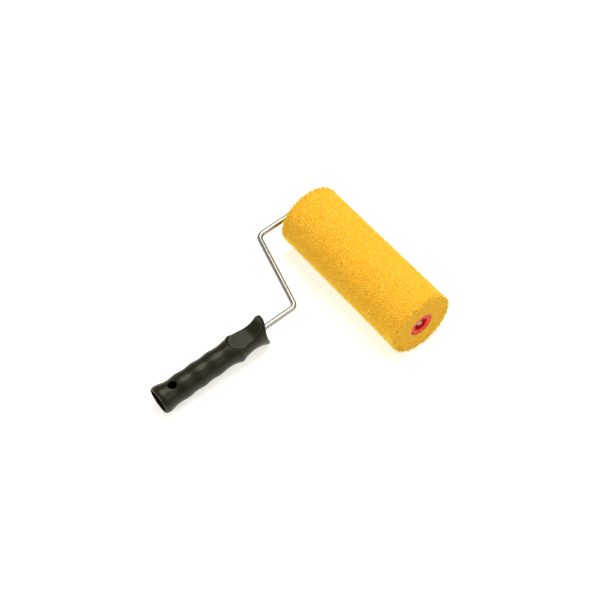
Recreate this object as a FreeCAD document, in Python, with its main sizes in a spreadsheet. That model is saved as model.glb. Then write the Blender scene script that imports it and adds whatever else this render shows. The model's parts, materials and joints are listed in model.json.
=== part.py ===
import FreeCAD, Part
import math
import os
import Sketcher

# A paint roller: a foam cover of the common 180 mm width, which is 182 mm over its rough-cut ends,
# on a bent wire frame with a moulded handle.
#
# Every sub-part is drawn in the frame's own axes: the origin is the middle of the roller's axis,
# X runs along that axis to the free end, Y points from the handle to the roller, and Z is square
# to the plane that the wire is bent in.  One placement, resting_place(), then lays the whole
# roller on a flat surface, as it lies when it is put down.

V = FreeCAD.Vector

doc = FreeCAD.newDocument("paint_roller")

# ---------------------------------------------------------------- driving dimensions, millimetres

DIMENSIONS = {
    # roller
    "foam_length": 182.0,
    "foam_radius": 36.0,
    "foam_rim_round": 2.5,
    "core_radius": 14.0,
    "core_wall": 1.6,
    # end caps
    "cap_sunk": 0.8,
    "cap_flange": 1.8,
    "cap_plug_length": 11.0,
    "cap_plug_wall": 1.6,
    "cap_recess_radius": 7.5,
    "cap_recess_depth": 4.6,
    "cap_floor": 2.0,
    "cap_hub_radius": 5.6,
    "cap_edge_round": 0.6,
    "cap_ribs": 6,
    "cap_rib_width": 1.2,
    "cap_rib_bite": 0.5,
    "bearing_clearance": 0.08,
    # wire frame
    "wire_radius": 3.0,
    "stem_offset": 8.7,
    "stem_embedded": 43.0,
    "arm_offset": 103.6,
    "neck_bend_back": 82.3,
    "neck_turn": 75.4,
    "stem_bend_radius": 6.5,
    "neck_bend_radius": 8.0,
    "arm_bend_radius": 8.0,
    "head_radius": 3.8,
    "head_thickness": 2.5,
    "head_chamfer": 1.4,
    "head_play": 0.5,
    "ear_reach": 4.8,
    "ear_length": 5.0,
    "ear_shoulder": 2.0,
    "ear_root": 2.4,
    "ear_thickness": 3.2,
    # thrust washer
    "washer_radius": 6.6,
    "washer_thickness": 1.0,
    "washer_gap": 0.3,
    # handle, with distances back from the roller's axis
    "handle_rear": 251.2,
    "handle_drop": 0.9,
    "handle_fullness": 0.3,
    "guard_back": 123.0,
    "guard_half_width": 13.4,
    "guard_half_height": 22.4,
    "guard_overrun": 5.0,
    "guard_flare": 1.1,
    "guard_thickness": 4.0,
    "guard_narrowing": 0.9,
    "guard_lowering": 2.6,
    "guard_foot": 10.0,
    "neck_back": 142.0,
    "neck_radius": 12.2,
    "neck_rise": 2.4,
    "ridge_back": 158.0,
    "ridge_radius": 15.1,
    "ridge_drop": 1.4,
    "ridge_flat": 3.0,
    "ridge_shoulder": 0.85,
    "ridge_foot": 7.0,
    "ridge_foot_rise": 1.1,
    "dish_radius": 50.0,
    "dish_depth": 3.2,
    "dish_rise": 2.0,
    "first_crest_back": 185.0,
    "wave_pitch": 19.0,
    "crest_count": 3,
    "crest_radius": 13.25,
    "valley_radius": 12.4,
    "wave_growth": 0.15,
    "rim_back": 247.6,
    "rim_radius": 15.0,
    "rim_end_radius": 14.3,
    "rim_foot": 7.0,
    "rim_foot_depth": 1.0,
    "rim_ovality": 0.05,
    "socket_radius": 10.5,
    "socket_end_back": 182.0,
    "socket_mouth_radius": 12.9,
    "socket_mouth_depth": 13.0,
    "hang_hole_radius": 4.6,
    "hang_hole_back": 232.6,
    # thumb rest
    "thumb_floor": 8.3,
    "thumb_rear_back": 152.0,
    "thumb_front_back": 141.5,
    "thumb_rear_radius": 12.5,
    "thumb_wall_radius": 3.0,
    "thumb_front_radius": 18.6,
}

dims = doc.addObject("Spreadsheet::Sheet", "dims")
for row, (alias, size) in enumerate(DIMENSIONS.items(), start=1):
    dims.set(f"A{row}", alias)
    dims.set(f"B{row}", str(size))
    dims.setAlias(f"B{row}", alias)
doc.recompute()


def value(expression):
    """The number that an expression on the sheet stands for, in millimetres or degrees."""
    result = dims.evalExpression(str(expression))
    return float(getattr(result, "Value", result))


# ---------------------------------------------------------------- helpers

def new_body(label):
    """A body whose name, label and file name are the same."""
    body = doc.addObject("PartDesign::Body", label)
    body.Label = label
    return body


def plane_of(body, role):
    """One of the body's own origin planes or axes, found by its role."""
    return next(item for item in body.Origin.OriginFeatures if item.Role == role)


def new_sketch(body, name, role, offset="0"):
    """A sketch on one of the body's origin planes, moved along the plane's normal by offset."""
    sketch = body.newObject("Sketcher::SketchObject", name)
    sketch.AttachmentSupport = [(plane_of(body, role), "")]
    sketch.MapMode = "FlatFace"
    sketch.setExpression("AttachmentOffset.Base.z", offset)
    return sketch


def bind(sketch, kind, geometry, expression):
    """Add a dimension to a sketch and bind it to the sheet."""
    index = sketch.addConstraint(Sketcher.Constraint(kind, *geometry, value(expression)))
    sketch.setExpression(f"Constraints[{index}]", expression)
    return index


def pin(sketch, geometry, point, across, up):
    """Hold one point of a sketch at two bound distances from the sketch's origin."""
    bind(sketch, "DistanceX", (-1, 1, geometry, point), across)
    bind(sketch, "DistanceY", (-1, 1, geometry, point), up)


def outline(body, name, role, corners):
    """A closed outline of straight lines whose corners are pairs of bound expressions."""
    sketch = new_sketch(body, name, role)
    points = [V(value(across), value(up), 0) for across, up in corners]
    for start, end in zip(points, points[1:] + points[:1]):
        sketch.addGeometry(Part.LineSegment(start, end), False)
    for side, (across, up) in enumerate(corners):
        before = (side - 1) % len(corners)
        sketch.addConstraint(Sketcher.Constraint("Coincident", before, 2, side, 1))
        pin(sketch, side, 1, across, up)
    return sketch


def disc(body, name, role, radius, across="0", up="0", offset="0"):
    """A circle whose radius and centre are bound expressions."""
    sketch = new_sketch(body, name, role, offset)
    centre = V(value(across), value(up), 0)
    sketch.addGeometry(Part.Circle(centre, V(0, 0, 1), value(radius)), False)
    pin(sketch, 0, 3, across, up)
    bind(sketch, "Radius", (0,), radius)
    return sketch


def turned(body, name, kind, sketch, axis="H_Axis"):
    """A full turn of a sketch about its own horizontal or vertical axis."""
    feature = body.newObject(f"PartDesign::{kind}", name)
    feature.Profile = sketch
    feature.ReferenceAxis = (sketch, [axis])
    feature.Angle = 360
    return feature


def pocketed(body, name, sketch):
    """A pocket cut through everything, both ways from the sketch's plane."""
    feature = body.newObject("PartDesign::Pocket", name)
    feature.Profile = sketch
    feature.Type = "ThroughAll"
    feature.Midplane = True
    return feature


def edges_at(shape, test):
    """The names of the edges whose middle point passes a test."""
    names = []
    for index, edge in enumerate(shape.Edges, start=1):
        middle = edge.valueAt((edge.FirstParameter + edge.LastParameter) / 2)
        if test(edge, middle):
            names.append(f"Edge{index}")
    return names


def rounded(body, name, radius, test):
    """A fillet on the edges of the body's tip that pass a test."""
    doc.recompute()
    base = body.Tip
    feature = body.newObject("PartDesign::Fillet", name)
    feature.Base = (base, edges_at(base.Shape, test))
    feature.setExpression("Radius", radius)
    return feature


def checked_cut(body, feature):
    """Recompute and make sure that a cutting feature took material away."""
    doc.recompute()
    if feature.Shape.Volume >= feature.BaseFeature.Shape.Volume - 0.1:
        raise RuntimeError(f"{feature.Name} cuts nothing from {body.Label}")


# ---------------------------------------------------------------- roller

def make_core_tube():
    """The rigid tube that the foam is bonded to; the cap flanges close its two ends."""
    body = new_body("core_tube")
    half = "dims.foam_length / 2 - dims.cap_sunk - dims.cap_flange"
    inner = "dims.core_radius - dims.core_wall"
    wall = outline(body, "tube_wall", "XY_Plane", [
        (f"-({half})", inner),
        (half, inner),
        (half, "dims.core_radius"),
        (f"-({half})", "dims.core_radius"),
    ])
    turned(body, "tube", "Revolution", wall)
    return body


def make_foam_cover():
    """The foam sleeve: a plain thick ring with softly rounded outer rims."""
    body = new_body("foam_cover")
    half = "dims.foam_length / 2"
    section = outline(body, "foam_section", "XY_Plane", [
        (f"-{half}", "dims.core_radius"),
        (half, "dims.core_radius"),
        (half, "dims.foam_radius"),
        (f"-{half}", "dims.foam_radius"),
    ])
    turned(body, "sleeve", "Revolution", section)
    outer = value("dims.foam_radius")
    rounded(body, "rims", "dims.foam_rim_round",
            lambda edge, middle: hasattr(edge.Curve, "Radius") and abs(edge.Curve.Radius - outer) < 0.01)
    return body


def make_end_cap(label, side):
    """A bearing cap; side is 1 at the free end and -1 at the arm end."""
    body = new_body(label)

    def along(inward):
        """The place along X that lies a given distance in from the end of the foam."""
        return f"{side} * (dims.foam_length / 2 - ({inward}))"

    face = "dims.cap_sunk"
    flange_back = "dims.cap_sunk + dims.cap_flange"
    floor = "dims.cap_sunk + dims.cap_recess_depth"
    floor_back = "dims.cap_sunk + dims.cap_recess_depth + dims.cap_floor"
    plug_end = "dims.cap_sunk + dims.cap_flange + dims.cap_plug_length"
    bore = "dims.wire_radius + dims.bearing_clearance"
    plug = "dims.core_radius - dims.core_wall"
    plug_inner = "dims.core_radius - dims.core_wall - dims.cap_plug_wall"
    section = outline(body, "cap_section", "XY_Plane", [
        (along(floor), bore),
        (along(floor), "dims.cap_recess_radius"),
        (along(face), "dims.cap_recess_radius"),
        (along(face), "dims.core_radius"),
        (along(flange_back), "dims.core_radius"),
        (along(flange_back), plug),
        (along(plug_end), plug),
        (along(plug_end), plug_inner),
        (along(floor_back), plug_inner),
        (along(floor_back), "dims.cap_hub_radius"),
        (along(plug_end), "dims.cap_hub_radius"),
        (along(plug_end), bore),
    ])
    turned(body, "cap_turned", "Revolution", section)
    doc.recompute()

    # Stiffening ribs that bite into the hub and the plug wall.
    rib_inner = "dims.cap_hub_radius - dims.cap_rib_bite"
    rib_outer = f"{plug_inner} + dims.cap_rib_bite"
    rib_sketch = outline(body, "rib_outline", "XY_Plane", [
        (along(floor_back), rib_inner),
        (along(plug_end), rib_inner),
        (along(plug_end), rib_outer),
        (along(floor_back), rib_outer),
    ])
    rib = body.newObject("PartDesign::Pad", "rib")
    rib.Profile = rib_sketch
    rib.Midplane = True
    rib.setExpression("Length", "dims.cap_rib_width")
    doc.recompute()
    ribs = body.newObject("PartDesign::PolarPattern", "ribs")
    ribs.Originals = [rib]
    ribs.Axis = (plane_of(body, "X_Axis"), [""])
    ribs.Angle = 360
    ribs.setExpression("Occurrences", "dims.cap_ribs")
    body.Tip = ribs

    face_x = value(along(face))
    rounded(body, "face_edges", "dims.cap_edge_round",
            lambda edge, middle: abs(middle.x - face_x) < 0.01)
    return body


def make_washer():
    """The loose thrust washer between the wire's ears and the far cap."""
    body = new_body("far_washer")
    inner_face = "-(dims.foam_length / 2 - dims.cap_sunk - dims.cap_recess_depth + dims.washer_gap)"
    ring = disc(body, "washer_rim", "YZ_Plane", "dims.washer_radius", offset=inner_face)
    pad = body.newObject("PartDesign::Pad", "washer_pad")
    pad.Profile = ring
    pad.Reversed = True
    pad.setExpression("Length", "dims.washer_thickness")
    hole = disc(body, "washer_hole", "YZ_Plane", "dims.wire_radius + dims.bearing_clearance")
    checked_cut(body, pocketed(body, "washer_bore", hole))
    return body


# ---------------------------------------------------------------- wire frame

def wire_route(body):
    """The centreline of the wire: stem, slanting neck, far arm and spindle, joined by tangent arcs."""
    sketch = new_sketch(body, "wire_route", "XY_Plane")
    turn = math.radians(value("dims.neck_turn"))
    stem_x = -value("dims.stem_offset")
    arm_x = -value("dims.arm_offset")
    start_y = -value("dims.guard_back") - value("dims.stem_embedded")
    stem_r = value("dims.stem_bend_radius")
    neck_r = value("dims.neck_bend_radius")
    arm_r = value("dims.arm_bend_radius")
    end_x = value("dims.foam_length / 2 - dims.cap_sunk - dims.cap_recess_depth + dims.head_play")

    # The stem's tangent point and the slanting neck between the two upper bends.
    slant = V(-math.sin(turn), math.cos(turn), 0)
    first_corner = V(stem_x, -value("dims.neck_bend_back"), 0)
    neck_length = (stem_x - arm_x) / math.sin(turn)
    second_corner = first_corner + slant * neck_length
    third_corner = V(arm_x, 0, 0)
    ahead = V(0, 1, 0)
    along = V(1, 0, 0)
    cut_1 = stem_r * math.tan(turn / 2)
    cut_2 = neck_r * math.tan(turn / 2)

    lines = [
        (V(stem_x, start_y, 0), first_corner - ahead * cut_1),
        (first_corner + slant * cut_1, second_corner - slant * cut_2),
        (second_corner + ahead * cut_2, third_corner - ahead * arm_r),
        (third_corner + along * arm_r, V(end_x, 0, 0)),
    ]
    centres = [
        first_corner - ahead * cut_1 - along * stem_r,
        second_corner + ahead * cut_2 + along * neck_r,
        third_corner - ahead * arm_r + along * arm_r,
    ]
    spans = [
        (0.0, turn),
        (math.pi, math.pi + turn),
        (math.pi / 2, math.pi),
    ]
    for start, end in lines:
        sketch.addGeometry(Part.LineSegment(start, end), False)
    for centre, radius, (first, last) in zip(centres, (stem_r, neck_r, arm_r), spans):
        sketch.addGeometry(Part.ArcOfCircle(Part.Circle(centre, V(0, 0, 1), radius), first, last), False)

    # Which end of each arc (1 its start, 2 its end) meets the line before it.
    for bend, before in enumerate((1, 2, 2)):
        sketch.addConstraint(Sketcher.Constraint("Tangent", bend, 2, 4 + bend, before))
        sketch.addConstraint(Sketcher.Constraint("Tangent", 4 + bend, 3 - before, bend + 1, 1))
    sketch.addConstraint(Sketcher.Constraint("Vertical", 0))
    sketch.addConstraint(Sketcher.Constraint("Vertical", 2))
    sketch.addConstraint(Sketcher.Constraint("Horizontal", 3))
    pin(sketch, 0, 1, "-dims.stem_offset", "-(dims.guard_back + dims.stem_embedded)")
    pin(sketch, 3, 2,
        "dims.foam_length / 2 - dims.cap_sunk - dims.cap_recess_depth + dims.head_play", "0")
    bind(sketch, "DistanceX", (-1, 1, 2, 1), "-dims.arm_offset")
    bind(sketch, "Radius", (4,), "dims.stem_bend_radius")
    bind(sketch, "Radius", (5,), "dims.neck_bend_radius")
    bind(sketch, "Radius", (6,), "dims.arm_bend_radius")
    bind(sketch, "DistanceY", (-1, 1, 0, 2),
         "-dims.neck_bend_back - dims.stem_bend_radius * tan(dims.neck_turn * 1deg / 2)")
    bind(sketch, "DistanceY", (-1, 1, 2, 1),
         "-dims.neck_bend_back + (dims.arm_offset - dims.stem_offset) / tan(dims.neck_turn * 1deg)"
         " + dims.neck_bend_radius * tan(dims.neck_turn * 1deg / 2)")
    return sketch


def make_wire_frame():
    """One bent rod with an upset head at the free end and two crimped ears at the arm end."""
    body = new_body("wire_frame")
    route = wire_route(body)
    rod_section = disc(body, "rod_section", "XZ_Plane", "dims.wire_radius", across="-dims.stem_offset",
                       offset="dims.guard_back + dims.stem_embedded")
    doc.recompute()
    rod = body.newObject("PartDesign::AdditivePipe", "rod")
    rod.Profile = rod_section
    rod.Spine = route
    doc.recompute()

    # The upset head, with a chamfered rim.
    root = "dims.foam_length / 2 - dims.cap_sunk - dims.cap_recess_depth + dims.head_play"
    head_sketch = outline(body, "head_section", "XY_Plane", [
        (root, "0"),
        (f"{root} + dims.head_thickness", "0"),
        (f"{root} + dims.head_thickness", "dims.head_radius - dims.head_chamfer"),
        (f"{root} + dims.head_thickness - dims.head_chamfer", "dims.head_radius"),
        (root, "dims.head_radius"),
    ])
    turned(body, "head", "Revolution", head_sketch)
    doc.recompute()

    # The ears: the rod squeezed flat, so that it spreads to both sides just outside the washer.
    ear_end = ("-(dims.foam_length / 2 - dims.cap_sunk - dims.cap_recess_depth + 2 * dims.washer_gap"
               " + dims.washer_thickness)")
    ear_sketch = outline(body, "ear_outline", "XY_Plane", [
        (ear_end, "-dims.ear_reach"),
        (ear_end, "dims.ear_reach"),
        (f"{ear_end} - dims.ear_shoulder", "dims.ear_reach"),
        (f"{ear_end} - dims.ear_length", "dims.ear_root"),
        (f"{ear_end} - dims.ear_length", "-dims.ear_root"),
        (f"{ear_end} - dims.ear_shoulder", "-dims.ear_reach"),
    ])
    ears = body.newObject("PartDesign::Pad", "ears")
    ears.Profile = ear_sketch
    ears.Midplane = True
    ears.setExpression("Length", "dims.ear_thickness")
    return body


# ---------------------------------------------------------------- handle

def handle_stations():
    """The oval sections from front to rear: distance back, half width, half height and drop."""
    drop = "dims.handle_drop"

    def grip(back, radius, lower=drop):
        """A section of the grip, a little taller than wide and hung a little low."""
        return (back, radius, f"{radius} + dims.handle_fullness", lower)

    # The guard starts in front of its dished face and thins into the neck.
    stations = [
        ("dims.guard_back - dims.guard_overrun", "dims.guard_half_width + dims.guard_flare",
         "dims.guard_half_height + dims.guard_flare", drop),
        ("dims.guard_back", "dims.guard_half_width", "dims.guard_half_height", drop),
        ("dims.guard_back + dims.guard_thickness", "dims.guard_half_width - dims.guard_narrowing",
         "dims.guard_half_height - dims.guard_lowering", f"{drop} * 2"),
        ("dims.guard_back + dims.guard_foot", "dims.neck_radius",
         "dims.neck_radius + dims.neck_rise", f"{drop} * 2"),
        grip("dims.neck_back", "dims.neck_radius"),
    ]

    # The ridge under the thumb rest.
    shoulder = "dims.ridge_radius - dims.ridge_shoulder"
    stations += [
        grip("dims.ridge_back - dims.ridge_foot", "dims.neck_radius + dims.ridge_foot_rise"),
        grip("dims.ridge_back - dims.ridge_flat", shoulder, "dims.ridge_drop"),
        grip("dims.ridge_back", "dims.ridge_radius", "dims.ridge_drop"),
        grip("dims.ridge_back + dims.ridge_flat", shoulder, "dims.ridge_drop"),
        grip("dims.ridge_back + dims.ridge_foot", "dims.crest_radius"),
    ]

    # The finger waves: a crest between each two valleys, each pair a little thicker.
    crests = int(value("dims.crest_count"))
    for wave in range(crests + 1):
        growth = f"{wave} * dims.wave_growth"
        stations.append(grip(f"dims.first_crest_back + {wave - 0.5} * dims.wave_pitch",
                             f"dims.valley_radius + {growth}"))
        if wave < crests:
            stations.append(grip(f"dims.first_crest_back + {wave} * dims.wave_pitch",
                                 f"dims.crest_radius + {growth}"))

    # The rear rim.
    rim_foot = "dims.rim_radius - dims.rim_foot_depth"
    stations += [
        ("dims.rim_back - dims.rim_foot", rim_foot, f"{rim_foot} + dims.rim_ovality", f"{drop} / 3"),
        ("dims.rim_back", "dims.rim_radius", "dims.rim_radius + dims.rim_ovality", "0"),
        ("dims.handle_rear", "dims.rim_end_radius", "dims.rim_end_radius + dims.rim_ovality", "0"),
    ]
    return stations


def oval(body, name, back, half_width, half_height, drop):
    """An upright oval on a plane square to the handle's axis."""
    sketch = new_sketch(body, name, "XZ_Plane", back)
    centre = V(value("-dims.stem_offset"), value(f"-({drop})"), 0)
    top = centre + V(0, value(half_height), 0)
    wide = centre + V(value(half_width), 0, 0)
    sketch.addGeometry(Part.Ellipse(top, wide, centre), False)
    sketch.exposeInternalGeometry(0)
    pin(sketch, 0, 3, "-dims.stem_offset", f"-({drop})")
    bind(sketch, "Distance", (1, 1, 1, 2), f"2 * ({half_height})")
    bind(sketch, "Distance", (2, 1, 2, 2), f"2 * ({half_width})")
    sketch.addConstraint(Sketcher.Constraint("Vertical", 1))
    return sketch


def thumb_front_sketch(body):
    """The side view of the thumb rest's front part: a flat and one long rise to the guard."""
    sketch = new_sketch(body, "thumb_side_view", "YZ_Plane")
    floor = value("dims.thumb_floor")
    rear = -value("dims.thumb_rear_back")
    front = -value("dims.thumb_front_back")
    rise = value("dims.thumb_front_radius")
    lid = floor + rise
    circle = Part.Circle(V(front, lid, 0), V(0, 0, 1), rise)
    sketch.addGeometry(Part.LineSegment(V(rear, floor, 0), V(front, floor, 0)), False)
    sketch.addGeometry(Part.ArcOfCircle(circle, 1.5 * math.pi, 2 * math.pi), False)
    sketch.addGeometry(Part.LineSegment(V(front + rise, lid, 0), V(rear, lid, 0)), False)
    sketch.addGeometry(Part.LineSegment(V(rear, lid, 0), V(rear, floor, 0)), False)
    sketch.addConstraint(Sketcher.Constraint("Tangent", 0, 2, 1, 1))
    for side in (1, 2, 3):
        sketch.addConstraint(Sketcher.Constraint("Coincident", side, 2, (side + 1) % 4, 1))
    sketch.addConstraint(Sketcher.Constraint("Horizontal", 2))
    sketch.addConstraint(Sketcher.Constraint("Vertical", 3))
    pin(sketch, 0, 1, "-dims.thumb_rear_back", "dims.thumb_floor")
    pin(sketch, 0, 2, "-dims.thumb_front_back", "dims.thumb_floor")
    bind(sketch, "Radius", (1,), "dims.thumb_front_radius")
    bind(sketch, "DistanceY", (-1, 1, 1, 2), "dims.thumb_floor + dims.thumb_front_radius")
    return sketch


def thumb_rear_sketch(body):
    """The cross view of the thumb rest's rear half: a flat floor with a rounded wall, to be turned."""
    sketch = new_sketch(body, "thumb_cross_view", "XZ_Plane", "dims.thumb_rear_back")
    axis = -value("dims.stem_offset")
    floor = value("dims.thumb_floor")
    outer = axis + value("dims.thumb_rear_radius")
    wall = value("dims.thumb_wall_radius")
    lid = floor + value("dims.thumb_front_radius")
    circle = Part.Circle(V(outer - wall, floor + wall, 0), V(0, 0, 1), wall)
    sketch.addGeometry(Part.LineSegment(V(axis, floor, 0), V(outer - wall, floor, 0)), False)
    sketch.addGeometry(Part.ArcOfCircle(circle, 1.5 * math.pi, 2 * math.pi), False)
    sketch.addGeometry(Part.LineSegment(V(outer, floor + wall, 0), V(outer, lid, 0)), False)
    sketch.addGeometry(Part.LineSegment(V(outer, lid, 0), V(axis, lid, 0)), False)
    sketch.addGeometry(Part.LineSegment(V(axis, lid, 0), V(axis, floor, 0)), False)
    sketch.addConstraint(Sketcher.Constraint("Tangent", 0, 2, 1, 1))
    sketch.addConstraint(Sketcher.Constraint("Tangent", 1, 2, 2, 1))
    for side in (2, 3, 4):
        sketch.addConstraint(Sketcher.Constraint("Coincident", side, 2, (side + 1) % 5, 1))
    sketch.addConstraint(Sketcher.Constraint("Horizontal", 0))
    sketch.addConstraint(Sketcher.Constraint("Vertical", 2))
    sketch.addConstraint(Sketcher.Constraint("Horizontal", 3))
    sketch.addConstraint(Sketcher.Constraint("Vertical", 4))
    pin(sketch, 0, 1, "-dims.stem_offset", "dims.thumb_floor")
    pin(sketch, 3, 1, "-dims.stem_offset + dims.thumb_rear_radius",
        "dims.thumb_floor + dims.thumb_front_radius")
    bind(sketch, "Radius", (1,), "dims.thumb_wall_radius")
    return sketch


def make_handle():
    """The moulded handle: a lofted grip with a thumb rest, a pole socket and a hanging hole."""
    body = new_body("handle")
    sections = []
    for number, station in enumerate(handle_stations(), start=1):
        sections.append(oval(body, f"section_{number:02d}", *station))
    doc.recompute()
    grip = body.newObject("PartDesign::AdditiveLoft", "grip")
    grip.Profile = sections[0]
    grip.Sections = sections[1:]
    grip.Ruled = False
    doc.recompute()

    # The thumb rest: its rear end is round in plan, and its front rises to the guard.
    checked_cut(body, pocketed(body, "thumb_front", thumb_front_sketch(body)))
    cross_view = thumb_rear_sketch(body)
    rear = body.newObject("PartDesign::Groove", "thumb_rear")
    rear.Profile = cross_view
    rear.ReferenceAxis = (cross_view, ["Edge5"])
    rear.Angle = 180
    checked_cut(body, rear)

    # The front of the guard is dished: its middle lies furthest back.
    dish = disc(body, "dish_circle", "YZ_Plane", "dims.dish_radius",
                across="-dims.guard_back - dims.dish_depth + dims.dish_radius", up="dims.dish_rise")
    checked_cut(body, pocketed(body, "guard_dish", dish))

    # The socket for an extension pole, with a flared mouth.  The sketch's axis is the handle's.
    mouth_end = "-(dims.handle_rear - dims.socket_mouth_depth)"
    socket = outline(body, "socket_section", "XY_Plane", [
        ("-dims.stem_offset", "-dims.handle_rear"),
        ("-dims.stem_offset + dims.socket_mouth_radius", "-dims.handle_rear"),
        ("-dims.stem_offset + dims.socket_radius", mouth_end),
        ("-dims.stem_offset + dims.socket_radius", "-dims.socket_end_back"),
        ("-dims.stem_offset", "-dims.socket_end_back"),
    ])
    groove = body.newObject("PartDesign::Groove", "pole_socket")
    groove.Profile = socket
    groove.ReferenceAxis = (socket, ["Edge5"])
    groove.Angle = 360
    checked_cut(body, groove)

    hang = disc(body, "hang_circle", "XY_Plane", "dims.hang_hole_radius",
                across="-dims.stem_offset", up="-dims.hang_hole_back")
    checked_cut(body, pocketed(body, "hang_hole", hang))

    # The rod is pushed into a blind hole from the front.
    stem = disc(body, "stem_circle", "XZ_Plane", "dims.wire_radius", across="-dims.stem_offset",
                offset="dims.guard_back + dims.stem_embedded")
    bore = body.newObject("PartDesign::Pocket", "stem_hole")
    bore.Profile = stem
    bore.Reversed = False
    bore.setExpression("Length", "dims.stem_embedded + dims.guard_overrun")
    checked_cut(body, bore)
    return body


# ---------------------------------------------------------------- resting place

def resting_place():
    """Lay the roller down: the foam and the handle's rear rim touch the surface, centred on it."""
    reach = value("dims.rim_back")
    roller_r = value("dims.foam_radius")
    rim_r = value("dims.rim_radius")
    # The tilt solves roller_r = reach * sin(tilt) + rim_r * cos(tilt).
    tilt = math.asin(roller_r / math.hypot(reach, rim_r)) - math.atan2(rim_r, reach)
    turn = FreeCAD.Rotation(V(1, 0, 0), math.degrees(tilt))
    left = -value("dims.arm_offset + dims.wire_radius")
    right = value("dims.foam_length / 2")
    rear_top = V(0, -value("dims.handle_rear"), value("dims.rim_end_radius"))
    rear = turn.multVec(rear_top).y
    return FreeCAD.Placement(V(-(left + right) / 2, -(roller_r + rear) / 2, roller_r), turn)


PARTS = [
    make_handle(),
    make_wire_frame(),
    make_core_tube(),
    make_foam_cover(),
    make_end_cap("near_end_cap", 1),
    make_end_cap("far_end_cap", -1),
    make_washer(),
]

for part in PARTS:
    part.Placement = resting_place()
doc.recompute()

# ---------------------------------------------------------------- checks and files

for item in doc.Objects:
    if "Invalid" in item.State or "Error" in item.State:
        raise RuntimeError(f"{item.Name} did not compute: {item.State}")

os.makedirs("parts", exist_ok=True)
for part in PARTS:
    if part.Shape.isNull() or not part.Shape.isValid() or len(part.Shape.Solids) != 1:
        raise RuntimeError(f"{part.Label} is not one valid solid")
for part in PARTS:
    part.Shape.exportStep(f"parts/{part.Label}.step")
    print(f"{part.Label}: {part.Shape.Volume / 1000:.1f} cm3")
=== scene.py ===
"""Looks of a foam paint roller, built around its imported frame: camera, stage, meshes and materials."""

import json
import math

import bmesh
import bpy
import numpy as np
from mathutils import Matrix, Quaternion, Vector
from mathutils.geometry import delaunay_2d_cdt


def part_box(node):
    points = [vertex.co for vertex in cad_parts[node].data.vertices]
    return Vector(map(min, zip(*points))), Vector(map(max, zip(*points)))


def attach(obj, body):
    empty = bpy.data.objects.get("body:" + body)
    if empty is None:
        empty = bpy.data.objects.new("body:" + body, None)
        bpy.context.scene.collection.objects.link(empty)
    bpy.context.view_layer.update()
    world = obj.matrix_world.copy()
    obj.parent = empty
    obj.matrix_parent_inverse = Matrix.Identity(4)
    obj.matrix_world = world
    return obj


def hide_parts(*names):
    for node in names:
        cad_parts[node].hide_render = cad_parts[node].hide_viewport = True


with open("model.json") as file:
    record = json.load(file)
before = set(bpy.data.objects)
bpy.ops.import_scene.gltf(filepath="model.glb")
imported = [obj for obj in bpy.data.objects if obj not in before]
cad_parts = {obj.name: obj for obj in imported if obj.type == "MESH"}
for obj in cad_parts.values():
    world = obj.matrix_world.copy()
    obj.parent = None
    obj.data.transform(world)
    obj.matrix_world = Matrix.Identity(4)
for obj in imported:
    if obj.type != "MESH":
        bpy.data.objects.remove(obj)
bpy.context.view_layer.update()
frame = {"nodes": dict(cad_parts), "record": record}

MM = 0.001
SEED = 41

foam_low, foam_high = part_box("foam_cover")
core_low, core_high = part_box("core_tube")
FOAM_CENTRE = (foam_low + foam_high) / 2
FOAM_RADIUS = (foam_high.z - foam_low.z) / 2
FOAM_HALF_LENGTH = (foam_high.x - foam_low.x) / 2
BORE_RADIUS = (core_high.z - core_low.z) / 2


# ---------------------------------------------------------------- camera

LENS = 75.0
SENSOR = 36.0
VIEW_AZIMUTH = math.radians(52.54)
VIEW_ELEVATION = math.radians(53.91)
VIEW_ROLL = math.radians(-0.50)
VIEW_DISTANCE = 1.2612
# The view's middle line passes here, measured from the middle of the roller.
AIM_FROM_ROLLER = Vector((-0.0078, -0.0763, 0.0))


def make_camera():
    """The camera looks down on the roller from its free end, over the handle's right side."""
    back = Vector((
        math.sin(VIEW_AZIMUTH) * math.cos(VIEW_ELEVATION),
        -math.cos(VIEW_AZIMUTH) * math.cos(VIEW_ELEVATION),
        math.sin(VIEW_ELEVATION),
    ))
    data = bpy.data.cameras.new("camera")
    data.lens = LENS
    data.sensor_width = SENSOR
    data.clip_start = 0.01
    data.clip_end = 50
    camera = bpy.data.objects.new("camera", data)
    camera.location = FOAM_CENTRE + AIM_FROM_ROLLER + back * VIEW_DISTANCE
    camera.rotation_mode = "QUATERNION"
    camera.rotation_quaternion = (-back).to_track_quat("-Z", "Y") @ Quaternion((0, 0, 1), VIEW_ROLL)
    bpy.context.scene.collection.objects.link(camera)
    bpy.context.scene.camera = camera


# ---------------------------------------------------------------- stage and light


FLOOR_GLOW = 0.64


def make_floor():
    """A wide, plain, nearly white floor, lit faintly from below like a light table."""
    mesh = bpy.data.meshes.new("floor")
    reach = 6.0
    mesh.from_pydata(
        [(-reach, -reach, 0), (reach, -reach, 0), (reach, reach, 0), (-reach, reach, 0)], [], [(0, 1, 2, 3)]
    )
    floor = bpy.data.objects.new("floor", mesh)
    bpy.context.scene.collection.objects.link(floor)
    material, tree, shader = new_material("floor_white")
    shader.inputs["Base Color"].default_value = (0.64, 0.632, 0.60, 1)
    shader.inputs["Roughness"].default_value = 0.9
    shader.inputs["Specular IOR Level"].default_value = 0.1
    shader.inputs["Emission Color"].default_value = (1.0, 0.985, 0.94, 1)
    shader.inputs["Emission Strength"].default_value = FLOOR_GLOW
    mesh.materials.append(material)


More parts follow.
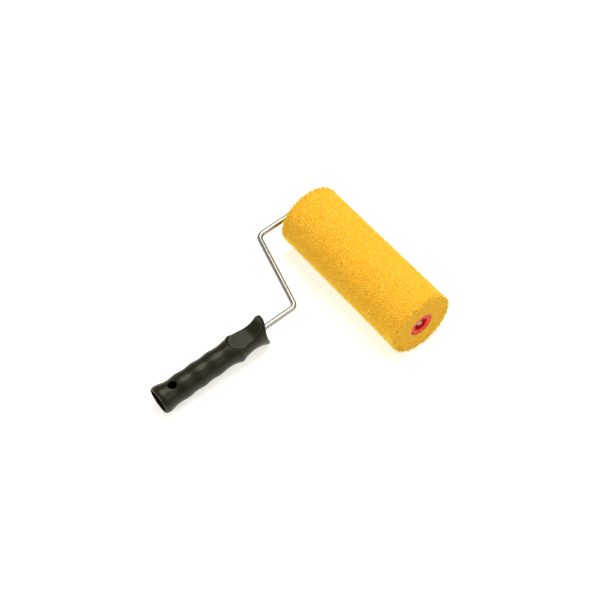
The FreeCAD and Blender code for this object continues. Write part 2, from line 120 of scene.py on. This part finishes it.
def make_area_light(name, place, target, size, power, colour=(1, 1, 1)):
    """A square softbox at place, turned to the target."""
    data = bpy.data.lights.new(name, "AREA")
    data.shape = "SQUARE"
    data.size = size
    data.energy = power
    data.color = colour
    light = bpy.data.objects.new(name, data)
    light.location = place
    light.rotation_mode = "QUATERNION"
    light.rotation_quaternion = (Vector(target) - Vector(place)).to_track_quat("-Z", "Y")
    bpy.context.scene.collection.objects.link(light)


def make_lights():
    """An even grey-white studio: a large softbox over the far side, and weaker ones behind and to the right."""
    world = bpy.data.worlds.new("studio")
    world.use_nodes = True
    world.node_tree.nodes["Background"].inputs["Color"].default_value = (1.0, 0.965, 0.88, 1)
    world.node_tree.nodes["Background"].inputs["Strength"].default_value = 0.26
    bpy.context.scene.world = world
    make_area_light("key", (-0.26, 0.45, 1.42), (0, 0, 0), 1.1, 19, (1.0, 0.99, 0.96))
    make_area_light("fill", (0.25, -1.25, 0.95), (0, 0, 0), 0.8, 8.5, (1.0, 0.985, 0.94))
    make_area_light("side", (0.50, 0.25, 0.50), (0, 0, 0), 0.5, 1.0, (1.0, 0.985, 0.94))


# ---------------------------------------------------------------- material helpers


def new_material(name):
    """A node material with its Principled shader."""
    material = bpy.data.materials.new(name)
    material.use_nodes = True
    tree = material.node_tree
    return material, tree, tree.nodes["Principled BSDF"]


def add_node(tree, kind, **values):
    """A node of that kind. Values whose names are sockets go to the sockets, and others to the node."""
    node = tree.nodes.new(kind)
    for key, value in values.items():
        if key in node.inputs:
            node.inputs[key].default_value = value
        else:
            setattr(node, key, value)
    return node


def add_noise(tree, scale, detail=3.0, roughness=0.55, stretch=(1, 1, 1)):
    """Noise over the object's own coordinates, in cells per metre."""
    coordinates = add_node(tree, "ShaderNodeTexCoord")
    mapping = add_node(tree, "ShaderNodeMapping")
    mapping.inputs["Scale"].default_value = stretch
    noise = add_node(tree, "ShaderNodeTexNoise", Scale=scale, Detail=detail, Roughness=roughness)
    tree.links.new(coordinates.outputs["Object"], mapping.inputs["Vector"])
    tree.links.new(mapping.outputs["Vector"], noise.inputs["Vector"])
    return noise.outputs["Fac"]


def add_range(tree, source, low, high, start=0.3, end=0.7):
    """The source from start to end becomes low to high."""
    node = add_node(tree, "ShaderNodeMapRange")
    node.inputs["From Min"].default_value = start
    node.inputs["From Max"].default_value = end
    node.inputs["To Min"].default_value = low
    node.inputs["To Max"].default_value = high
    tree.links.new(source, node.inputs["Value"])
    return node.outputs["Result"]


def add_ramp(tree, source, stops):
    """A colour ramp of (position, colour) stops."""
    ramp = add_node(tree, "ShaderNodeValToRGB")
    elements = ramp.color_ramp.elements
    while len(elements) < len(stops):
        elements.new(0.5)
    for element, (position, colour) in zip(elements, stops):
        element.position = position
        element.color = (*colour, 1)
    tree.links.new(source, ramp.inputs["Fac"])
    return ramp.outputs["Color"]


def add_bump(tree, source, height, strength=1.0, below=None):
    """A bump of that height in metres, on top of the bump below it."""
    bump = add_node(tree, "ShaderNodeBump", Strength=strength, Distance=height)
    tree.links.new(source, bump.inputs["Height"])
    if below is not None:
        tree.links.new(below, bump.inputs["Normal"])
    return bump.outputs["Normal"]


def mix_colours(tree, kind, factor, first, second):
    """Two colour outputs mixed; the factor is a number or an output."""
    mix = add_node(tree, "ShaderNodeMix", data_type="RGBA", blend_type=kind)
    factor_socket, first_socket, second_socket = mix.inputs[0], mix.inputs[6], mix.inputs[7]
    if isinstance(factor, float):
        factor_socket.default_value = factor
    else:
        tree.links.new(factor, factor_socket)
    tree.links.new(first, first_socket)
    tree.links.new(second, second_socket)
    return mix.outputs[2]


def mix_values(tree, factor, first, second):
    """A value output that moves to the number second as the factor output goes to one."""
    mix = add_node(tree, "ShaderNodeMix", data_type="FLOAT")
    tree.links.new(factor, mix.inputs[0])
    tree.links.new(first, mix.inputs[2])
    mix.inputs[3].default_value = second
    return mix.outputs[0]


# ---------------------------------------------------------------- materials


def handle_plastic():
    """Nearly black moulded plastic: satin and faintly cloudy, rougher and less shiny inside the socket, where
    shade is painted in a darker colour, and with a highlight painted in a lighter colour round its lip.
    """
    material, tree, shader = new_material("handle_plastic")
    inside = add_node(tree, "ShaderNodeAttribute", attribute_name="inside").outputs["Fac"]
    lip = add_node(tree, "ShaderNodeAttribute", attribute_name="lip").outputs["Fac"]
    cloud = add_noise(tree, 90, detail=4)
    outer = add_ramp(tree, cloud, [(0.3, (0.0100, 0.0095, 0.0036)), (0.7, (0.0145, 0.0137, 0.0056))])
    # Painted shade: a much darker colour for the inside of the socket.
    painted_socket_shade = add_ramp(tree, cloud, [(0.3, (0.0022, 0.0021, 0.0018)), (0.7, (0.0036, 0.0033, 0.0028))])
    # Painted highlight: a lighter colour round the lip of the socket.
    painted_lip_highlight = add_ramp(tree, cloud, [(0.3, (0.055, 0.052, 0.042)), (0.7, (0.085, 0.081, 0.068))])
    shaded = mix_colours(tree, "MIX", inside, outer, painted_socket_shade)
    tree.links.new(mix_colours(tree, "MIX", lip, shaded, painted_lip_highlight), shader.inputs["Base Color"])
    patches = add_noise(tree, 260, detail=5, roughness=0.6)
    satin = add_range(tree, patches, 0.29, 0.38)
    tree.links.new(mix_values(tree, inside, satin, 0.85), shader.inputs["Roughness"])
    shine = add_range(tree, inside, 0.28, 0.06, start=0.0, end=1.0)
    tree.links.new(shine, shader.inputs["Specular IOR Level"])
    shader.inputs["Specular Tint"].default_value = (1.0, 0.96, 0.79, 1)
    grain = add_noise(tree, 2600, detail=2)
    waviness = add_noise(tree, 150, detail=2)
    swell = add_bump(tree, waviness, 0.25 * MM, 0.5)
    tree.links.new(add_bump(tree, grain, 0.05 * MM, 0.6, below=swell), shader.inputs["Normal"])
    return material


def plated_steel():
    """Zinc-plated wire with faint cloudy patches and fine scratches, and painted shade where it is seen edge on.
    """
    material, tree, shader = new_material("plated_steel")
    cloud = add_noise(tree, 220, detail=4)
    colour = add_ramp(tree, cloud, [(0.3, (0.40, 0.39, 0.36)), (0.7, (0.48, 0.465, 0.43))])
    tree.links.new(colour, shader.inputs["Base Color"])
    shader.inputs["Metallic"].default_value = 1.0
    # A dark edge tint: painted shade on the wire where it is seen edge on.
    shader.inputs["Specular Tint"].default_value = (0.40, 0.375, 0.33, 1)
    patches = add_noise(tree, 700, detail=5, roughness=0.65)
    tree.links.new(add_range(tree, patches, 0.28, 0.38), shader.inputs["Roughness"])
    scratches = add_noise(tree, 1500, detail=3)
    tree.links.new(add_bump(tree, scratches, 0.03 * MM, 0.5), shader.inputs["Normal"])
    return material


def cap_plastic():
    """Red moulded plastic with a soft shine."""
    material, tree, shader = new_material("cap_plastic")
    cloud = add_noise(tree, 160, detail=3)
    colour = add_ramp(tree, cloud, [(0.3, (0.68, 0.012, 0.012)), (0.7, (0.80, 0.022, 0.020))])
    tree.links.new(colour, shader.inputs["Base Color"])
    patches = add_noise(tree, 500, detail=4)
    tree.links.new(add_range(tree, patches, 0.32, 0.45), shader.inputs["Roughness"])
    shader.inputs["Specular IOR Level"].default_value = 0.2
    shader.inputs["Subsurface Weight"].default_value = 0.5
    shader.inputs["Subsurface Radius"].default_value = (1.0, 0.15, 0.1)
    shader.inputs["Subsurface Scale"].default_value = 4.0 * MM
    grain = add_noise(tree, 2200, detail=2)
    tree.links.new(add_bump(tree, grain, 0.03 * MM, 0.5), shader.inputs["Normal"])
    return material


def core_plastic():
    """Pale extruded tube, faintly streaked along the roller."""
    material, tree, shader = new_material("core_plastic")
    streaks = add_noise(tree, 400, detail=3, stretch=(0.06, 1, 1))
    colour = add_ramp(tree, streaks, [(0.3, (0.52, 0.51, 0.48)), (0.7, (0.62, 0.61, 0.58))])
    tree.links.new(colour, shader.inputs["Base Color"])
    tree.links.new(add_range(tree, streaks, 0.4, 0.55), shader.inputs["Roughness"])
    tree.links.new(add_bump(tree, streaks, 0.05 * MM, 0.5), shader.inputs["Normal"])
    return material


def washer_steel():
    """Stamped steel with a matt plating."""
    material, tree, shader = new_material("washer_steel")
    cloud = add_noise(tree, 600, detail=4)
    colour = add_ramp(tree, cloud, [(0.3, (0.45, 0.45, 0.44)), (0.7, (0.6, 0.6, 0.58))])
    tree.links.new(colour, shader.inputs["Base Color"])
    shader.inputs["Metallic"].default_value = 1.0
    tree.links.new(add_range(tree, cloud, 0.3, 0.5), shader.inputs["Roughness"])
    tree.links.new(add_bump(tree, cloud, 0.03 * MM, 0.5), shader.inputs["Normal"])
    return material


def foam_material():
    """Yellow open-pored foam: painted shade making the pores deeper orange inside, a tone for each pore, and
    painted glints on some strut tops.
    """
    material, tree, shader = new_material("foam")
    height = add_node(tree, "ShaderNodeAttribute", attribute_name="strut_height").outputs["Fac"]
    tone = add_node(tree, "ShaderNodeAttribute", attribute_name="pore_tone_and_glint").outputs["Fac"]
    # Painted shade: the colour deepens and darkens from the strut tops down into the pits.
    painted_pit_shade = add_ramp(tree, height, [
        (0.0, (0.92, 0.38, 0.011)),
        (0.45, (0.97, 0.515, 0.024)),
        (1.0, (1.0, 0.63, 0.050)),
    ])
    tone_colour = add_ramp(tree, tone, [(0.0, (0.80, 0.74, 0.66)), (0.8, (1.0, 1.0, 1.0))])
    tinted = mix_colours(tree, "MULTIPLY", 1.0, painted_pit_shade, tone_colour)
    # Painted glints: strut tops whose tone is highest are mixed towards a pale colour.
    pale = add_node(tree, "ShaderNodeRGB")
    pale.outputs["Color"].default_value = (1.0, 0.85, 0.33, 1)
    painted_glint_amount = add_node(tree, "ShaderNodeMath", operation="MULTIPLY")
    tree.links.new(add_range(tree, tone, 0.0, 0.9, start=0.76, end=1.0), painted_glint_amount.inputs[0])
    tree.links.new(height, painted_glint_amount.inputs[1])
    final = mix_colours(tree, "MIX", painted_glint_amount.outputs["Value"], tinted, pale.outputs["Color"])
    tree.links.new(final, shader.inputs["Base Color"])
    fibre = add_noise(tree, 1800, detail=3)
    tree.links.new(add_range(tree, fibre, 0.4, 0.65), shader.inputs["Roughness"])
    tree.links.new(add_bump(tree, fibre, 0.12 * MM, 0.7), shader.inputs["Normal"])
    shader.inputs["Specular IOR Level"].default_value = 0.15
    shader.inputs["Subsurface Weight"].default_value = 0.5
    shader.inputs["Subsurface Radius"].default_value = (1.0, 0.5, 0.1)
    shader.inputs["Subsurface Scale"].default_value = 3.0 * MM
    return material


# ---------------------------------------------------------------- foam mesh

RIM_ROUND = 2.2 * MM
PORE = 2.42 * MM
PORE_JITTER = 0.34
ROW_STEP = PORE * math.sqrt(3) / 2
GHOST_ROWS = 3
# Painted shade: the cut ends are given a deeper, darker colour than the side. The rims are paler, with more of the
# painted glints.
PAINTED_END_FACE_SHADE = 0.2
RIM_REACH = 3.5 * MM
RIM_PALING = 0.12
BARB_SHARE = 0.05
BARB_RIM_SHARE = 0.9
BARB_LENGTH = 1.2 * MM
BARB_RIM_LENGTH = 2.0 * MM
BARB_RADIAL = 0.6
BARB_RADIUS = 0.34 * MM
BARB_TIP = 0.2 * MM
BARB_ROOT = 0.3 * MM


class FoamProfile:
    """The outline that turns about the roller's axis: one end face, its rim, the side, the other rim and face.

    A place on it is its distance along the outline, from the bore at the near end to the bore at the far end.
    """

    def __init__(self):
        self.face = FOAM_RADIUS - RIM_ROUND - BORE_RADIUS
        self.rim = math.pi / 2 * RIM_ROUND
        self.side = 2 * (FOAM_HALF_LENGTH - RIM_ROUND)
        self.length = 2 * self.face + 2 * self.rim + self.side
        overrun = (GHOST_ROWS + 1) * ROW_STEP
        self.s_table = np.linspace(-overrun, self.length + overrun, 6001)
        radius = self.at(self.s_table)[1]
        stretch = FOAM_RADIUS / radius
        steps = np.diff(self.s_table) * (stretch[1:] + stretch[:-1]) / 2
        self.u_table = np.concatenate([[0], np.cumsum(steps)])

    def at(self, s):
        """x from the middle, the radius, and the outward normal's x and radial parts."""
        s = np.asarray(s, float)
        half = self.length / 2
        end = np.where(s < half, 1.0, -1.0)
        along = np.where(s < half, s, self.length - s)
        on_face = along < self.face
        turn = np.clip((along - self.face) / RIM_ROUND, 0, math.pi / 2)
        past_rim = np.clip(along - self.face - self.rim, 0, None)
        radius = np.where(on_face, BORE_RADIUS + along, FOAM_RADIUS - RIM_ROUND + RIM_ROUND * np.sin(turn))
        x = FOAM_HALF_LENGTH - RIM_ROUND + RIM_ROUND * np.cos(turn) - past_rim
        return end * x, radius, end * np.cos(turn), np.sin(turn)

    def flat(self, s):
        """The place across a flat map that keeps small shapes, as wide as the roller's circumference."""
        return np.interp(s, self.s_table, self.u_table)

    def unflat(self, u):
        return np.interp(u, self.u_table, self.s_table)

    def near_rim(self, s):
        """One in the middle of either rim, falling off on both sides of it."""
        middle = self.face + self.rim / 2
        away = np.minimum(abs(s - middle), abs(self.length - s - middle))
        return np.exp(-((away / RIM_REACH) ** 2))


def pore_centres(profile, random):
    """Jittered rows of pore centres on the flat map, and which of them only bound the last real pores."""
    places, ghosts = [], []
    rows = round(profile.length / ROW_STEP)
    step = profile.length / rows
    for row in range(-GHOST_ROWS, rows + GHOST_ROWS):
        s_row = (row + 0.5) * step
        radius = float(profile.at(s_row)[1])
        count = max(8, round(2 * math.pi * radius / PORE))
        spread = random.uniform(-PORE_JITTER, PORE_JITTER, (count, 2))
        turns = (np.arange(count) + random.uniform() + spread[:, 0]) / count
        s = s_row + spread[:, 1] * PORE
        v = np.mod(turns, 1.0) * 2 * math.pi * FOAM_RADIUS
        places.append(np.column_stack([profile.flat(s), v]))
        ghosts.append(np.full(count, row < 0 or row >= rows))
    return np.concatenate(places), np.concatenate(ghosts)


def triangulate_round(centres):
    """Delaunay triangles of centres on a map that closes on itself in v, as extended places and triangles.

    Returns the places with copies past both seams, each place's own centre, and the triangles.
    """
    period = 2 * math.pi * FOAM_RADIUS
    margin = 14 * PORE
    above = np.nonzero(centres[:, 1] < margin)[0]
    below = np.nonzero(centres[:, 1] > period - margin)[0]
    own = np.concatenate([np.arange(len(centres)), above, below])
    places = np.concatenate([centres, centres[above] + [0, period], centres[below] - [0, period]])
    scale = 1000.0
    found = delaunay_2d_cdt([Vector(p * scale) for p in places], [], [], 0, 1e-6)
    source = [group[0] for group in found[3]]
    triangles = np.array([[source[corner] for corner in face] for face in found[2]])
    return places, own, triangles


def strut_lift(count, random):
    """How far each strut crossing stands off the outline, a little unevenly."""
    lift = random.normal(0.1, 0.16, count)
    broken = random.uniform(size=count) < 0.1
    lift += np.where(broken, random.uniform(0.3, 0.7, count), 0)
    return np.clip(lift, -0.3, 0.9) * MM


def barb(root, spike, random):
    """The corners of a thin closed stub of strut: three sunk round the root, and three at the leaning cut end."""
    reach = np.linalg.norm(spike)
    outward = spike / reach
    lean = random.normal(0, 0.4, 3)
    lean -= outward * lean.dot(outward)
    across = np.cross(outward, random.normal(size=3))
    across /= np.linalg.norm(across)
    beside = np.cross(outward, across)
    corners = []
    for middle, radius in ((root - outward * BARB_ROOT, BARB_RADIUS), (root + spike + lean * reach, BARB_TIP)):
        for angle in (0, 2 * math.pi / 3, 4 * math.pi / 3):
            corners.append(middle + radius * (across * math.cos(angle) + beside * math.sin(angle)))
    return corners


BARB_FACES = ((0, 1, 4, 3), (1, 2, 5, 4), (2, 0, 3, 5), (3, 4, 5), (2, 1, 0))


def foam_mesh(random):
    """Pores of a coarse foam over the roller: raised struts round sunken floors, closed by the bore."""
    profile = FoamProfile()
    centres, ghost = pore_centres(profile, random)
    places, own, triangles = triangulate_round(centres)
    middles = places[triangles].mean(axis=1)

    corners_of = {}
    for number, triangle in enumerate(triangles):
        for corner in triangle:
            if corner < len(centres) and not ghost[corner]:
                corners_of.setdefault(int(corner), []).append(number)
    # Copies of one triangle past the seams share one strut crossing.
    crossing_of = {}
    crossing = [crossing_of.setdefault(tuple(sorted(own[t])), len(crossing_of)) for t in triangles]

    lift = strut_lift(len(crossing_of), random)

    flat, raised, height, tone, faces = [], [], [], [], []

    def add_vertex(place, rise, strut, shade):
        flat.append(place)
        raised.append(rise)
        height.append(strut)
        tone.append(shade)
        return len(flat) - 1

    crossing_vertex = {}
    edge_use = {}
    for centre, around in corners_of.items():
        offsets = middles[around] - places[centre]
        order = np.argsort(np.arctan2(offsets[:, 1], offsets[:, 0]))
        around = [around[k] for k in order]
        middle = middles[around].mean(axis=0)
        shade = random.uniform(0.35, 0.75)
        depth = random.uniform(0.9, 1.9) * MM
        narrow = random.uniform(0.52, 0.68)
        ring = []
        for number in around:
            key = crossing[number]
            if key not in crossing_vertex:
                crossing_vertex[key] = add_vertex(middles[number], lift[key], 1.0, random.uniform())
            ring.append(crossing_vertex[key])
        wall = []
        for number in around:
            place = middle + (middles[number] - middle) * narrow
            rise = 0.5 * lift[crossing[number]] - random.uniform(0.35, 0.55) * depth
            wall.append(add_vertex(place, rise, 0.45, shade))
        pit = add_vertex(middle, -depth, 0.0, shade)
        for k in range(len(ring)):
            following = (k + 1) % len(ring)
            faces.append((ring[k], ring[following], wall[following], wall[k]))
            faces.append((wall[k], wall[following], pit))
            edge = (ring[k], ring[following])
            edge_use[frozenset(edge)] = edge_use.get(frozenset(edge), 0) + 1

    flat = np.array(flat)
    raised = np.array(raised)
    s = profile.unflat(flat[:, 0])
    x, radius, normal_x, normal_r = profile.at(s)
    x = x + normal_x * raised
    radius = radius + normal_r * raised
    turn = flat[:, 1] / FOAM_RADIUS
    points = np.column_stack([x, radius * np.cos(turn), radius * np.sin(turn)]) + np.array(FOAM_CENTRE)
    outward = np.column_stack([normal_x, normal_r * np.cos(turn), normal_r * np.sin(turn)])
    near_rim = profile.near_rim(s)
    # Painted shade on the end faces: lower strut heights there give them the deeper pit colour.
    height = (np.array(height) * (1 - PAINTED_END_FACE_SHADE * abs(normal_x) * (1 - near_rim))).tolist()
    tone = (np.array(tone) + RIM_PALING * near_rim).tolist()

    # Cut strut ends stand out of some crossings: most at the rims, where they lean along the roller.
    outward[:, 1:] *= BARB_RADIAL
    points = points.tolist()
    for vertex in crossing_vertex.values():
        if random.uniform() < BARB_SHARE + BARB_RIM_SHARE * near_rim[vertex]:
            reach = random.uniform(0.4, 1) * (BARB_LENGTH + BARB_RIM_LENGTH * near_rim[vertex])
            faces += [tuple(corner + len(points) for corner in face) for face in BARB_FACES]
            points += barb(np.array(points[vertex]), outward[vertex] * reach, random)
            height += [1.0] * 6
            tone += [random.uniform(0.5, 0.85)] * 6

    mesh = bpy.data.meshes.new("foam_cover_pores")
    mesh.from_pydata(points, [], faces)
    for name, values in (("strut_height", height), ("pore_tone_and_glint", tone)):
        layer = mesh.attributes.new(name, "FLOAT", "POINT")
        layer.data.foreach_set("value", np.array(values, np.float32))
    close_bore(mesh)
    mesh.shade_smooth()
    return mesh


def close_bore(mesh):
    """Turns both open edges into the bore and joins them along the core."""
    work = bmesh.new()
    work.from_mesh(mesh)
    open_edges = [edge for edge in work.edges if edge.is_boundary]
    inner_loops = []
    for end in (1, -1):
        edges = [edge for edge in open_edges if (edge.verts[0].co.x - FOAM_CENTRE.x) * end > 0]
        made = bmesh.ops.extrude_edge_only(work, edges=edges)["geom"]
        for vertex in (item for item in made if isinstance(item, bmesh.types.BMVert)):
            radial = Vector((0, vertex.co.y - FOAM_CENTRE.y, vertex.co.z - FOAM_CENTRE.z))
            radial.normalize()
            x = FOAM_CENTRE.x + end * (FOAM_HALF_LENGTH - 2.5 * MM)
            vertex.co = Vector((x, FOAM_CENTRE.y, FOAM_CENTRE.z)) + radial * BORE_RADIUS
        inner_loops += [item for item in made if isinstance(item, bmesh.types.BMEdge)]
    bmesh.ops.bridge_loops(work, edges=inner_loops)
    bmesh.ops.recalc_face_normals(work, faces=work.faces)
    work.to_mesh(mesh)
    work.free()


def make_foam():
    random = np.random.default_rng(SEED)
    foam = bpy.data.objects.new("foam_cover_pores", foam_mesh(random))
    bpy.context.scene.collection.objects.link(foam)
    foam.data.materials.append(foam_material())
    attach(foam, "roller")
    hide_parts("foam_cover")


# ---------------------------------------------------------------- handle mesh

HANDLE_VOXEL = 0.52 * MM
HANDLE_SMOOTHING = 3
SOCKET_FLARE = 0.185
LIP_LENGTH = 0.7 * MM


def mark_socket(mesh):
    """Point attributes for the hollow inside of the handle, where shade is painted, and for the lip round its open
    end, where a highlight is painted.
    """
    socket = next(mount for mount in frame["record"]["mounts"] if mount["name"] == "pole_socket")
    half_length = socket["dims"]["length_mm"] / 2 * MM
    axis = np.array(socket["axis"])
    offsets = np.array([vertex.co for vertex in mesh.vertices]) - np.array(socket["pos_m"])
    along = offsets @ axis
    radius = np.linalg.norm(offsets - along[:, None] * axis, axis=1)
    wall = socket["dims"]["r_mm"] * MM + SOCKET_FLARE * np.clip(along - half_length, 0, None)
    lip = np.clip(1 - (along.max() - along) / LIP_LENGTH, 0, 1)
    inside = (along > -half_length - MM) * np.clip((wall - radius) / MM + 0.8, 0, 1) * (1 - lip)
    for name, values in (("inside", inside), ("lip", lip)):
        layer = mesh.attributes.new(name, "FLOAT", "POINT")
        layer.data.foreach_set("value", values.astype(np.float32))


def make_handle():
    """The handle with an even skin, whose sharp edges are rounded as moulding leaves them."""
    work = bmesh.new()
    work.from_mesh(frame["nodes"]["handle"].data)
    bmesh.ops.remove_doubles(work, verts=work.verts, dist=0.001 * MM)
    rough = bpy.data.meshes.new("handle_rough")
    work.to_mesh(rough)
    work.free()
    handle = bpy.data.objects.new("handle_moulded", rough)
    bpy.context.scene.collection.objects.link(handle)
    skin = handle.modifiers.new("even_skin", "REMESH")
    skin.mode = "VOXEL"
    skin.voxel_size = HANDLE_VOXEL
    edges = handle.modifiers.new("moulded_edges", "SMOOTH")
    edges.factor = 0.5
    edges.iterations = HANDLE_SMOOTHING
    handle.data = bpy.data.meshes.new_from_object(
        handle.evaluated_get(bpy.context.evaluated_depsgraph_get())
    )
    handle.modifiers.clear()
    mark_socket(handle.data)
    handle.data.materials.clear()
    handle.data.materials.append(handle_plastic())
    handle.data.shade_smooth()
    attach(handle, "frame")
    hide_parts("handle")


# ---------------------------------------------------------------- carried-over pieces


def dress(node, material):
    """The CAD node keeps its shape and gets the material in every slot."""
    piece = frame["nodes"][node]
    piece.data.materials.clear()
    piece.data.materials.append(material)


def dress_cad_nodes():
    dress("wire_frame", plated_steel())
    red = cap_plastic()
    dress("near_end_cap", red)
    dress("far_end_cap", red)
    dress("core_tube", core_plastic())
    dress("far_washer", washer_steel())


make_camera()
make_floor()
make_lights()
make_foam()
make_handle()
dress_cad_nodes()
bpy.context.scene.view_settings.view_transform = "Standard"
